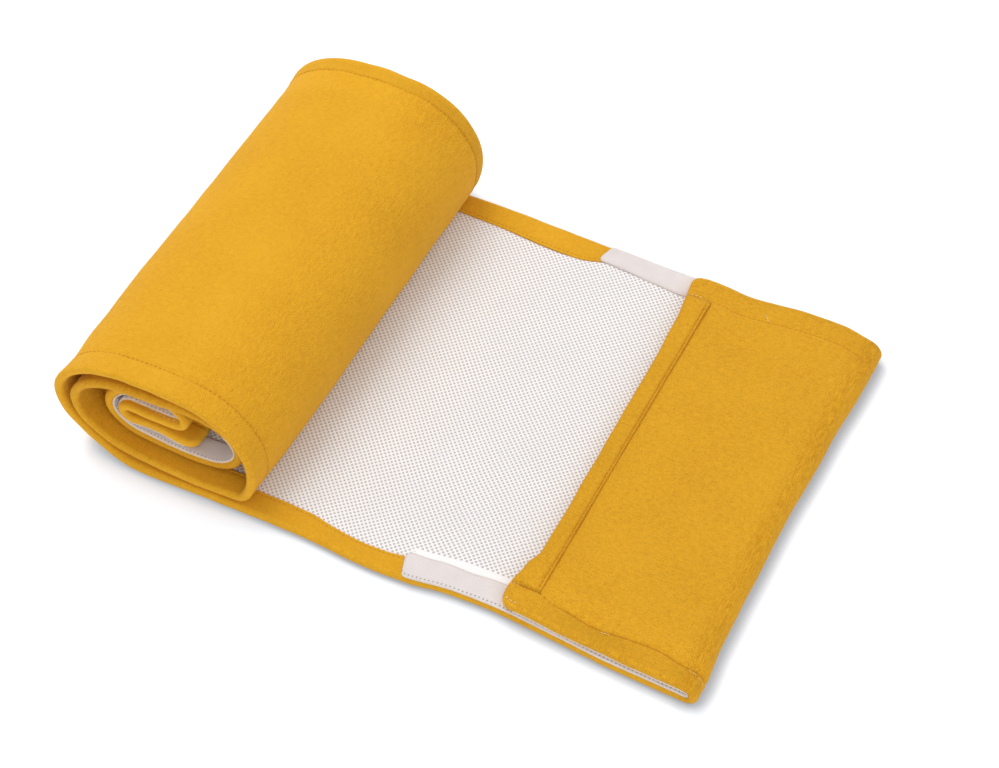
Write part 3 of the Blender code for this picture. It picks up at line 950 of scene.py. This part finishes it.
# The band's sewn edge: distance in from the short end, and share of the band's height
BandEdge = namedtuple("BandEdge", "slide rise")
BAND_EDGE = [
    BandEdge(slide=14.2, rise=0.10),
    BandEdge(slide=13.9, rise=0.85),
    BandEdge(slide=13.4, rise=1.00),
    BandEdge(slide=12.9, rise=0.85),
    BandEdge(slide=12.5, rise=0.42),
    BandEdge(slide=12.1, rise=0.40),
    BandEdge(slide=11.7, rise=0.75),
    BandEdge(slide=11.0, rise=1.00),
]

# A place on the band's section, s along it. top is 1 on the muslin face, -1 on the mesh, 0 between
BandSpot = namedtuple("BandSpot", "s slide rise top")


def band_spots():
    """The band's section from its edge on the muslin face, round the end, to its edge on the mesh."""
    half = [BandSpot(0.0, edge.slide, edge.rise, 1) for edge in BAND_EDGE]
    half += [BandSpot(0.0, place, 1.0, 1) for place in spread(10.0, 0.5, 1.6)]
    nose = []
    for step in range(1, 8):
        angle = math.pi * step / 8
        nose.append(BandSpot(0.0, 0.5 - BAND_NOSE * math.sin(angle), math.cos(angle), 0))
    other = [BandSpot(0.0, spot.slide, spot.rise, -1) for spot in reversed(half)]
    spots = []
    length = 0.0
    last = None
    for spot in half + nose + other:
        if last:
            rise = spot.rise - last.rise if spot.top else BAND_BEND
            length += math.hypot(spot.slide - last.slide, rise)
        spots.append(spot._replace(s=length))
        last = spot
    return spots


def put_band(spot, column, station, away):
    from_rim = min(column.across, CLOTH_WIDTH - column.across)
    pucker = 0.16 * crinkle(column.across, spot.slide, 4.4, 5.0)
    pucker += 0.2 * crinkle(column.across, 0.0, 6.1, 16.0)
    out = (BAND_OUT + pucker) * ramp(from_rim, HEM_WIDTH, HEM_WIDTH + BAND_RISE_WIDTH) + BAND_GAP
    middle = STRIP / 2
    if spot.top:
        depth = middle - spot.top * (middle + out * spot.rise)
    else:
        depth = middle - spot.rise * (middle + out)
    across = sewn_across(station, column.across)
    wave = 0.5 * crinkle(column.across, 0.0, 2.9, 22.0) * max(0.0, 1.0 - spot.slide / BAND_WIDTH)
    point = strip.place(station, across, depth, slide_in=spot.slide + wave, slide_way=away)
    return point, column.across


def short_end(at_core):
    """The station of one short end, and which way along the strip leads away from it."""
    return (strip.station(strip.length), -1.0) if at_core else (strip.station(0.0), 1.0)


def make_band(name, node_name, at_core, material):
    """The binding folded round a short end and sewn down between the two hems."""
    station, away = short_end(at_core)
    places = spread(HEM_WIDTH + 0.1, CLOTH_WIDTH - HEM_WIDTH - 0.1, 3.0)
    columns = [Column(place, 0.0, place) for place in places]
    order = columns if at_core else list(reversed(columns))

    def put(spot, column):
        return put_band(spot, column, station, away)

    return lay_cloth(name, band_spots(), order, put, material, BAND_LAYER, [node_name])


# ------------------------------ sewing
THREAD_RADIUS = 0.22
STITCH_PITCH = 3.0
STITCH_LENGTH = 2.1


def add_stitch(mesh, start, end, radius):
    turn = (end - start).to_track_quat("X", "Z").to_matrix().to_4x4()
    stretch = Matrix.Diagonal(((end - start).length / 2, radius * MM, radius * MM, 1.0))
    place = Matrix.Translation((start + end) / 2) @ turn @ stretch
    bmesh.ops.create_icosphere(mesh, subdivisions=1, radius=1.0, matrix=place)


def sew_line(name, spot, first, last, material, radius=THREAD_RADIUS):
    """A row of stitches. spot gives the point of the seam at a distance along it."""
    mesh = bmesh.new()
    count = math.floor((last - first) / STITCH_PITCH)
    for number in range(count):
        start = first + number * STITCH_PITCH
        add_stitch(mesh, spot(start), spot(start + STITCH_LENGTH), radius)
    return add_piece(name, mesh, material)


SEAM_FROM_END = 6.0
THREAD_FROM_HEM = 3.0
THREAD_PROUD = 0.12
HEM_THREAD_PROUD = 0.10
THREAD_SINK = 0.24
THREAD_SINK_FAR = 0.12
THREAD_SINK_FADE = 40.0


def thread_sink(s, far_side):
    """How far the thread on the muslin face sinks into its seam: less on the flap than past it."""
    past_flap = s - strip.s_at(0.95)
    sink = THREAD_SINK * ramp(past_flap, 0.0, THREAD_SINK_FADE)
    return sink + (THREAD_SINK_FAR if far_side and past_flap < 0.0 else 0.0)


def sew_hems(material):
    """The stitches that hold both hems: one row shows on the muslin face and one on the hem itself."""
    last = strip.length - SEAM_FROM_END
    for side in ("near", "far"):

        def on_face(s, far_side=side == "far"):
            across = CLOTH_WIDTH - HEM_WIDTH if far_side else HEM_WIDTH
            depth = thread_sink(s, far_side) - THREAD_PROUD
            return put_muslin(strip.station(s), Column(across, depth, across))[0]

        def on_hem(s, far_side=side == "far"):
            across = CLOTH_WIDTH - HEM_STITCH if far_side else HEM_STITCH
            return put_muslin(strip.station(s), Column(across, HEM_TOP + HEM_THREAD_PROUD, across))[0]

        sew_line(f"seam_thread_{side}_face", on_face, SEAM_FROM_END, last, material)
        sew_line(f"seam_thread_{side}_hem", on_hem, SEAM_FROM_END, last, material)


def sew_bands(material):
    """The stitches along both sewn edges of each band."""
    first, last = HEM_WIDTH + THREAD_FROM_HEM, CLOTH_WIDTH - HEM_WIDTH - THREAD_FROM_HEM
    for name, at_core in (("outer", False), ("inner", True)):
        station, away = short_end(at_core)
        for face, top in (("face", 1), ("back", -1)):

            def on_band(across, groove=BandSpot(0.0, BAND_STITCH, 0.5, top), station=station, away=away):
                return put_band(groove, Column(across, 0.0, across), station, away)[0]

            sew_line(f"band_thread_{name}_{face}", on_band, first, last, material)


# Cream stitches where a seam ends or is tacked down. A row's start and end are each a distance along the
# cloth and one from the near rim
Tack = namedtuple("Tack", "name start end depth stitches radius")
TACKS = [
    Tack("corner_seam", start=(0.8, 17.0), end=(5.6, 17.0), depth=-0.25, stitches=3, radius=0.30),
    Tack("corner_rim", start=(2.0, 3.8), end=(8.6, 3.6), depth=-0.20, stitches=3, radius=0.30),
    Tack("near_tack", start=(56.7, 14.8), end=(62.2, 15.0), depth=-0.30, stitches=3, radius=0.30),
    Tack("fold_near", start=(111.0, 16.4), end=(121.5, 12.3), depth=0.02, stitches=4, radius=0.22),
    Tack("corner_far", start=(0.6, 263.0), end=(9.2, 263.2), depth=-0.25, stitches=4, radius=0.30),
    Tack("far_tack", start=(48.6, 268.2), end=(52.3, 263.4), depth=-0.30, stitches=3, radius=0.30),
]
TACK_STITCH = 0.78


def tack_down(tack, material):
    mesh = bmesh.new()
    for number in range(tack.stitches):
        ends = []
        for share in (number / tack.stitches, (number + TACK_STITCH) / tack.stitches):
            across = blend(tack.start[1], tack.end[1], share)
            station = strip.station(blend(tack.start[0], tack.end[0], share))
            ends.append(put_muslin(station, Column(across, tack.depth, across))[0])
        add_stitch(mesh, ends[0], ends[1], tack.radius)
    return add_piece(f"tack_{tack.name}", mesh, material)


# The cream stitches on the hem of the small flap inside the roll
CORE_STITCHES = [
    Inset(along=7.04, from_rim=3.6),
    Inset(along=7.10, from_rim=3.2),
    Inset(along=7.28, from_rim=3.0),
    Inset(along=7.47, from_rim=3.9),
    Inset(along=7.60, from_rim=5.2),
    Inset(along=7.82, from_rim=6.4),
]


def sew_core(material):
    def on_small_flap(s):
        station = strip.station(s)
        across = from_rows(CORE_STITCHES, station.along, "from_rim")
        return put_muslin(station, Column(across, HEM_TOP + 0.15, -across))[0]

    first, last = strip.s_at(CORE_STITCHES[0].along), strip.s_at(CORE_STITCHES[-1].along)
    return sew_line("tack_core_hem", on_small_flap, first, last, material, radius=0.26)


muslin = muslin_material()
band_muslin = muslin_material("muslin_band", 0.03)
mustard_thread = thread_material("thread_mustard", (0.66, 0.32, 0.02, 1), (0.45, 0.19, 0.01, 1))
cream_thread = thread_material("thread_cream", (0.92, 0.76, 0.42, 1), (0.75, 0.55, 0.22, 1))
muslin_cloth = make_muslin(muslin)
spacer_cloth = make_mesh(mesh_material())
trimmings = make_tapes(tape_material(), tape_material("loop_tape_plain", 0.0))
trimmings.append(make_band("end_binding_outer", "end_band_outer", False, band_muslin))
trimmings.append(make_band("end_binding_inner", "end_band_inner", True, band_muslin))
sew_hems(mustard_thread)
sew_bands(mustard_thread)
for tack in TACKS:
    tack_down(tack, cream_thread)
sew_core(cream_thread)


# ------------------------------ floor, light, camera
# The floor is painted darker close to the bumper, as a contact shadow, and glows faintly, more so below the
# roll, where the glow lightens the shadow
FLOOR_IN_SHADE = (0.36, 0.41, 0.48, 1)
FLOOR_OPEN = (0.90, 0.92, 0.95, 1)
GLOW_OPEN = (0.21, 0.225, 0.24, 1)
GLOW_AT_ROLL = (0.25, 0.28, 0.31, 1)
CONTACT_REACH = 0.012
FLOOR_SIZE = 4.0


def make_floor():
    material, tree, shader = new_material("floor_white", 0.9, 0.0)
    contact = node(tree, "ShaderNodeAmbientOcclusion", {"samples": 8}, {"Distance": CONTACT_REACH})
    in_open = Maths(tree, contact.outputs["AO"]).stepped(0.50, 1.0)
    tree.links.new(mixed(tree, in_open, FLOOR_IN_SHADE, FLOOR_OPEN), shader.inputs["Base Color"])
    place = node(tree, "ShaderNodeSeparateXYZ", {}, {0: node(tree, "ShaderNodeTexCoord").outputs["Object"]})
    at_roll = Maths(tree, place.outputs[0]).stepped(0.02, -0.14)
    tree.links.new(mixed(tree, at_roll, GLOW_OPEN, GLOW_AT_ROLL), shader.inputs["Emission Color"])
    shader.inputs["Emission Strength"].default_value = 1.0
    mesh = bmesh.new()
    bmesh.ops.create_grid(mesh, x_segments=1, y_segments=1, size=FLOOR_SIZE)
    floor = show_mesh("floor", mesh, material)


# Square soft boxes that face the object's middle
SoftBox = namedtuple("SoftBox", "name place side power")
SOFT_BOXES = [
    SoftBox("key", place=(-0.9, 0.5, 1.9), side=1.2, power=18),
    SoftBox("fill", place=(1.2, -1.2, 1.6), side=1.5, power=6),
]


def make_light(box):
    data = bpy.data.lights.new(box.name, "AREA")
    data.shape = "SQUARE"
    data.size = box.side
    data.energy = box.power
    light = show(box.name, data)
    light.location = box.place
    light.rotation_euler = (-Vector(box.place)).to_track_quat("-Z", "Y").to_euler()


# The photograph's view, with angles in degrees, lengths in metres and the lens in mm
CAMERA_AZIMUTH = 27.016
CAMERA_ELEVATION = 52.565
CAMERA_DISTANCE = 1.51653
CAMERA_TARGET = (0.0085, 0.0086, 0.0)
CAMERA_LENS = 88.19
CAMERA_SENSOR = 36.0


def make_camera():
    azimuth, elevation = math.radians(CAMERA_AZIMUTH), math.radians(CAMERA_ELEVATION)
    level = math.cos(elevation)
    back = Vector((math.sin(azimuth) * level, -math.cos(azimuth) * level, math.sin(elevation)))
    data = bpy.data.cameras.new("camera")
    data.lens = CAMERA_LENS
    data.sensor_width = CAMERA_SENSOR
    camera = show("camera", data)
    camera.location = Vector(CAMERA_TARGET) + back * CAMERA_DISTANCE
    camera.rotation_euler = (-back).to_track_quat("-Z", "Y").to_euler()
    bpy.context.scene.camera = camera


def make_world():
    world = bpy.data.worlds.new("studio")
    world.use_nodes = True
    background = world.node_tree.nodes["Background"]
    background.inputs["Color"].default_value = (0.95, 0.97, 1.0, 1)
    background.inputs["Strength"].default_value = 0.75
    bpy.context.scene.world = world


make_floor()
make_world()
for soft_box in SOFT_BOXES:
    make_light(soft_box)
make_camera()
bpy.context.scene.view_settings.view_transform = "Standard"
